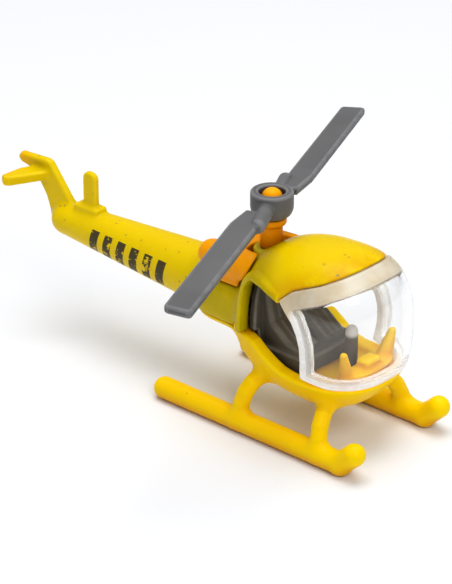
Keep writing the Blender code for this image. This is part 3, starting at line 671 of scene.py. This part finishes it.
def plastic(name, colour, shade, recess_shade, gloss, glow=0.0, grain=0.00001, edge_highlight=0.3, edge=None, tip=None):
    """Moulded plastic: faint flow marks, uneven gloss, a fine grain, painted shade in recesses, painted
    highlight along convex edge lines broken up by wear, a few specks.

    tip is the colour of a painted highlight and the height, in millimetres, that it starts at.
    """
    s = Shader(name)
    flow = s.noise(55.0, 3.0, 0.55)
    tone = s.mix(s.span(flow, 0.35, 0.7), colour, shade)
    # painted shade: recesses darkened towards the recess colour by ambient occlusion
    tone = s.mix(s.math("MULTIPLY", s.occlusion_shade(0.0035), 0.75), tone, recess_shade)
    # painted highlight: lighter along convex edge lines, broken up by wear
    tone = s.mix(s.math("MULTIPLY", s.edges(0.5, 1.8), edge_highlight), tone,
                 edge or [min(1.0, c * 1.2) for c in colour])
    if tip:
        # painted highlight: the top is lighter above the given height
        tone = s.mix(s.span(s.axes()["Z"], (tip[1] - 0.3) * MM, (tip[1] + 0.3) * MM), tone, tip[0])
    tone = s.mix(s.math("MULTIPLY", s.specks(330.0, 0.11, 0.05), 0.55), tone, [c * 0.45 for c in recess_shade])
    rough = s.span(s.math("ADD", s.noise(260.0, 4.0, 0.6), s.span(flow, 0.3, 0.7, -0.1, 0.1)), 0.35, 0.7,
                   gloss - 0.07, gloss + 0.10)
    bumps = [(s.noise(2600.0, 3.0, 0.6), 0.35, grain), (flow, 0.5, 0.00012)]
    return s.finish(tone, rough, bumps, **{"Subsurface Weight": glow, "Subsurface Radius": (1.0, 0.4, 0.05),
                                           "Subsurface Scale": 0.0015, "IOR": 1.5,
                                           "Specular IOR Level": 0.06})


def body_paint():
    """Lemon paint: orange peel, painted olive shade in recesses, round the doorway, on the neck and behind the
    roof, painted highlight along convex edge lines, an ochre roof edge that is partly stain and partly painted
    reflected light, an orange tail, specks and a worn print.
    """
    s = Shader("body_paint")
    pool = s.noise(42.0, 3.0, 0.5)
    tone = s.mix(s.span(pool, 0.35, 0.7), (0.81, 0.575, 0.0), (0.76, 0.52, 0.0))
    tone = s.mix(s.span(s.noise(700.0, 4.0, 0.7), 0.45, 0.8, 0.0, 0.25), tone, (0.70, 0.44, 0.0))
    # painted shade: recesses darkened to olive by ambient occlusion
    tone = s.mix(s.math("MULTIPLY", s.occlusion_shade(0.0045), 0.9), tone, (0.27, 0.215, 0.0))
    # painted highlight: paler yellow along convex edge lines, broken up by wear
    tone = s.mix(s.math("MULTIPLY", s.edges(0.6, 2.0), 0.35), tone, (0.95, 0.70, 0.01))
    # ochre blotches along the roof's lower edge: partly stain, partly painted reflected light
    ochre_blotches = s.span(s.noise(260.0, 4.0, 0.65), 0.34, 0.56, 0.0, 0.85)
    tone = s.mix(s.math("MULTIPLY", s.attribute("lip"), ochre_blotches), tone, (0.70, 0.33, 0.0))
    # painted shade: olive, in clouds, round the doorway, on the neck and behind the roof
    cloudy = s.span(s.noise(130.0, 3.0, 0.6), 0.30, 0.60, 0.35, 0.75)
    tone = s.mix(s.math("MULTIPLY", s.attribute("painted_shade"), cloudy), tone, (0.37, 0.305, 0.0))
    tail = s.span(s.axes()["X"], *[(x + MAST_X) * MM for x in TAIL_TINT], 0.0, 0.7)
    tone = s.mix(tail, tone, (0.95, 0.47, 0.0))
    tone = s.mix(s.math("MULTIPLY", s.specks(300.0, 0.16, 0.10), 0.8), tone, (0.30, 0.24, 0.10))
    tone = s.mix(s.math("MULTIPLY", s.specks(900.0, 0.25, 0.45), 0.7), tone, (0.50, 0.30, 0.02))
    tone = s.mix(s.math("MULTIPLY", s.specks(520.0, 0.13, 0.08), 0.6), tone, (0.75, 0.70, 0.50))
    tone = s.mix(worn_bars(s), tone, (0.018, 0.018, 0.020))
    rough = s.span(s.noise(300.0, 4.0, 0.65), 0.3, 0.7, 0.22, 0.42)
    bumps = [(s.noise(1500.0, 3.0, 0.6), 0.45, 0.00002), (pool, 0.5, 0.00015)]
    return s.finish(tone, rough, bumps, **{"Coat Weight": 0.02, "Coat Roughness": 0.10, "IOR": 1.5,
                                           "Specular IOR Level": 0.06})


def worn_bars(s):
    """A row of slanted printed bars along the starboard side of the boom, worn through in places."""
    axes = s.axes()
    along = s.math("MULTIPLY_ADD", axes["Z"], BARS_LEAN, axes["X"])
    phase = s.math("DIVIDE", s.math("SUBTRACT", along, (BARS_START + MAST_X) * MM), BARS_PITCH * MM)
    bar = s.math("LESS_THAN", s.math("FRACT", phase), BARS_SHARE)
    height = s.math("ABSOLUTE", s.math("SUBTRACT", axes["Z"], BARS_Z * MM))
    across = s.math("LESS_THAN", height, BARS_HALF * MM)
    first = s.math("GREATER_THAN", phase, 0.0)
    last = s.math("LESS_THAN", phase, float(BARS_COUNT))
    side = s.math("LESS_THAN", axes["Y"], 0.0)
    wear = s.math("LESS_THAN", s.noise(620.0, 5.0, 0.7), 0.60)
    rubs = s.math("LESS_THAN", s.noise(1.0, 3.0, 0.6, s.stretched((500.0, 400.0, 2600.0))), 0.63)
    mask = s.math("MULTIPLY", bar, across)
    for part in (first, last, side, wear, rubs):
        mask = s.math("MULTIPLY", mask, part)
    return s.math("MULTIPLY", mask, 0.94)


def clear_styrene():
    """Clear plastic, milky at its rim and tinted along the roof, that lets lamps light what is inside."""
    s = Shader("canopy_clear")
    rim, band = s.attribute("rim"), s.attribute("band")
    haze = s.span(s.noise(500.0, 4.0, 0.65), 0.4, 0.75)
    tone = s.mix(rim, (0.995, 0.995, 0.99), (0.99, 0.98, 0.96))
    clouds = s.span(s.noise(170.0, 3.0, 0.6), 0.35, 0.65)
    tone = s.mix(band, tone, s.mix(clouds, (0.72, 0.58, 0.36), (0.88, 0.82, 0.68)))
    rough = s.math("ADD", s.span(haze, 0.0, 1.0, 0.01, 0.04), s.math("MULTIPLY", rim, 0.10))
    rough = s.math("ADD", rough, s.math("MULTIPLY", band, 0.25))
    milk = s.math("MULTIPLY", rim, s.span(haze, 0.0, 1.0, 0.54, 0.70))
    through = s.math("SUBTRACT", 1.0, milk)
    scratches = s.noise(1.0, 4.0, 0.6, s.stretched((900.0, 900.0, 160.0)))
    bumps = [(scratches, 0.06, 0.00003), (s.noise(160.0, 2.0, 0.5), 0.10, 0.00020)]
    s.finish(tone, rough, bumps, **{"Transmission Weight": through, "IOR": 1.42})
    lamp = s.add("ShaderNodeLightPath").outputs["Is Shadow Ray"]
    open_air = s.add("ShaderNodeBsdfTransparent", {"Color": (0.90, 0.90, 0.89, 1.0)})
    joined = s.add("ShaderNodeMixShader", {0: lamp, 1: s.principled.outputs[0], 2: open_air.outputs[0]})
    s.tree.links.new(joined.outputs[0], s.tree.nodes["Material Output"].inputs["Surface"])
    return s.material


def bare_metal():
    """Peened zinc with dulled patches and a fine grain."""
    s = Shader("rivet_metal")
    patch = s.noise(400.0, 4.0, 0.6)
    tone = s.mix(s.span(patch, 0.35, 0.7), (0.60, 0.60, 0.61), (0.42, 0.41, 0.40))
    bumps = [(s.noise(1800.0, 3.0, 0.6), 0.4, 0.00003)]
    return s.finish(tone, s.span(patch, 0.3, 0.7, 0.28, 0.5), bumps, **{"Metallic": 1.0})


BODY_OF = {node: body for body, nodes in frame["record"]["behaviour"]["bodies"].items() for node in nodes}

paint = body_paint()
warm = plastic("base_plastic", (0.98, 0.66, 0.0), (0.96, 0.58, 0.0), (0.70, 0.25, 0.0), gloss=0.36, glow=0.08)
orange = plastic("engine_plastic", (0.93, 0.355, 0.001), (0.90, 0.30, 0.001), (0.62, 0.15, 0.0),
                 gloss=0.36, glow=0.06)
dome = plastic("pin_plastic", (0.97, 0.45, 0.002), (0.96, 0.38, 0.001), (0.66, 0.16, 0.0),
               gloss=0.27, glow=0.06)
# the rotor's and the interior's edge colours are their painted highlights
grey = plastic("rotor_plastic", (0.140, 0.140, 0.143), (0.104, 0.104, 0.107), (0.045, 0.045, 0.05),
               gloss=0.40, grain=0.00002, edge_highlight=0.38, edge=(0.32, 0.32, 0.33))
inside = plastic("interior_plastic", (0.112, 0.100, 0.080), (0.088, 0.078, 0.060), (0.028, 0.024, 0.016),
                 gloss=0.45, edge_highlight=0.35, edge=(0.28, 0.26, 0.22))
# the stick's pale top is a painted highlight
stick = plastic("stick_plastic", (0.110, 0.090, 0.065), (0.085, 0.068, 0.048), (0.035, 0.028, 0.018),
                gloss=0.40, tip=((0.55, 0.54, 0.52), STICK_HIGHLIGHT_Z))
clear = clear_styrene()
metal = bare_metal()


def put(node, field, low, high, step, material, turn=0.0):
    return moulded("fine_" + node, field, low, high, step, BODY_OF[node], node, material, turn)


casting = put("body_casting", body_casting, (-54, -10.2, 11.5), (25, 10.2, 32.5), GRID * 1.15, paint)
put("base_and_skids", base_and_skids, (-14, -12, -0.5), (27.5, 12, 16), GRID * 1.15, warm)
put("engine_block", engine_block, (-11, -7, 19.5), (2, 7, 26.5), GRID, orange)
bubble = put("canopy", canopy, (8, -10, 11), (26, 10, 31.5), GRID, clear)
put("cabin_interior", cabin_interior, (1, -8.5, 10), (13, 8.5, 24), GRID, inside)
put("front_console", front_console, (15, -7, 10), (21.5, 7, 17.5), GRID, warm)
put("main_rotor", main_rotor, (-38, -3.4, 30.5), (38, 3.4, 35.2), GRID * 0.9, grey, ROTOR_TURN)

mark(bubble, "rim", lambda x, z: rim_inside(x, z) / RIM_FADE)
mark(bubble, "band", lambda x, z: (BUBBLE_TOP_RIM - under_roof(x, z)) / BAND_FADE)
# the roof's lower edge, where the ochre is painted: partly stain, partly painted reflected light
mark(casting, "lip", lambda x, z: np.where(x > LIP_FROM, 1.0 + roof_region(x, z) / LIP_FADE, 0.0))
# where the body's painted shade lies
mark(casting, "painted_shade", painted_shade)

lathe("fine_rotor_mast", [(0, MAST_LOW), (MAST_R - 0.2, MAST_LOW), (MAST_R, MAST_LOW + 0.2)]
      + [(MAST_R - 0.15, MAST_HIGH - COLLAR_SLOPE_LOW), (COLLAR_R - 0.1, MAST_HIGH - 1.0),
         (COLLAR_R, MAST_HIGH - COLLAR_LOW)]
      + arc(COLLAR_R - 0.2, MAST_HIGH - 0.2, 0.2, 0, 90) + [(0, MAST_HIGH)],
      96, "airframe", "rotor_mast", orange)
pin_low, pin_seat = MAST_HIGH + GAP, HUB_LOW + HUB_FLOOR + GAP
lathe("fine_rotor_pin", [(0, pin_low), (PIN_SHAFT_R, pin_low), (PIN_SHAFT_R, pin_seat), (PIN_HEAD_R, pin_seat)]
      + arc(0, PIN_TOP - PIN_HEAD_R, PIN_HEAD_R, 0, 86, 14) + [(0, PIN_TOP)],
      96, "airframe", "rotor_pin", dome)
lathe("fine_control_stick", [(0, TUB_FLOOR + GAP), (STICK_R, TUB_FLOOR + GAP)]
      + arc(0, STICK_TOP - STICK_R, STICK_R, 0, 84, 9) + [(0, STICK_TOP)],
      64, "airframe", "control_stick", stick, (STICK_X, 0.0))
for node, (where, low, high) in RIVETS.items():
    lathe("fine_" + node, [(0, low), (RIVET_HEAD_R - RIVET_FLAT, low + 0.02)]
          + arc(RIVET_HEAD_R - RIVET_EDGE, low + RIVET_EDGE, RIVET_EDGE, -80, 0)
          + [(RIVET_HEAD_R, high), (0, high)], 64, "airframe", node, metal, (where, 0.0))


# Stage

def area_light(name, place, aim, size, power):
    lamp = bpy.data.lights.new(name, "AREA")
    lamp.shape = "SQUARE"
    lamp.size = size
    lamp.energy = power
    made = bpy.data.objects.new(name, lamp)
    made.location = place
    made.rotation_mode = "QUATERNION"
    made.rotation_quaternion = (Vector(aim) - Vector(place)).to_track_quat("-Z", "Y")
    bpy.context.scene.collection.objects.link(made)


def stage():
    half = FLOOR_HALF
    mesh = bpy.data.meshes.new("floor")
    corners = [(-half, -half, 0), (half, -half, 0), (half, half, 0), (-half, half, 0)]
    mesh.from_pydata(corners, [], [(0, 1, 2, 3)])
    s = Shader("pale_floor")
    tone = s.mix(s.noise(6.0, 2.0), (0.865, 0.88, 0.915), (0.85, 0.865, 0.90))
    mesh.materials.append(s.finish(tone, 0.7, [(s.noise(900.0, 2.0), 0.1, 0.00002)]))
    floor = bpy.data.objects.new("floor", mesh)
    floor.location.z = -FLOOR_DROP
    bpy.context.scene.collection.objects.link(floor)
    world = bpy.data.worlds.new("studio")
    world.use_nodes = True
    links, nodes = world.node_tree.links, world.node_tree.nodes
    nodes["Background"].inputs["Color"].default_value = (1.0, 1.0, 1.0, 1.0)
    where = nodes.new("ShaderNodeTexCoord")
    split = nodes.new("ShaderNodeSeparateXYZ")
    sky = nodes.new("ShaderNodeMapRange")
    sky.inputs["From Min"].default_value, sky.inputs["From Max"].default_value = 0.0, SKY_TOP
    sky.inputs["To Min"].default_value, sky.inputs["To Max"].default_value = SKY_LOW, SKY_HIGH
    links.new(where.outputs["Generated"], split.inputs["Vector"])
    links.new(split.outputs["Z"], sky.inputs["Value"])
    links.new(sky.outputs["Result"], nodes["Background"].inputs["Strength"])
    bpy.context.scene.world = world
    for lamp in LAMPS:
        area_light(*lamp)


def camera():
    lens = bpy.data.cameras.new("camera")
    lens.sensor_fit = "VERTICAL"
    lens.sensor_height = CAMERA_SENSOR
    lens.lens = CAMERA_LENS
    lens.clip_start = 0.01
    made = bpy.data.objects.new("camera", lens)
    made.location = ((CAMERA_PLACE[0] + MAST_X) * MM, CAMERA_PLACE[1] * MM, CAMERA_PLACE[2] * MM)
    made.rotation_mode = "QUATERNION"
    made.rotation_quaternion = Vector(CAMERA_AIM).to_track_quat("-Z", "Y")
    bpy.context.scene.collection.objects.link(made)
    bpy.context.scene.camera = made


stage()
camera()
bpy.context.scene.view_settings.view_transform = "Standard"
bpy.context.scene.cycles.use_denoising = True
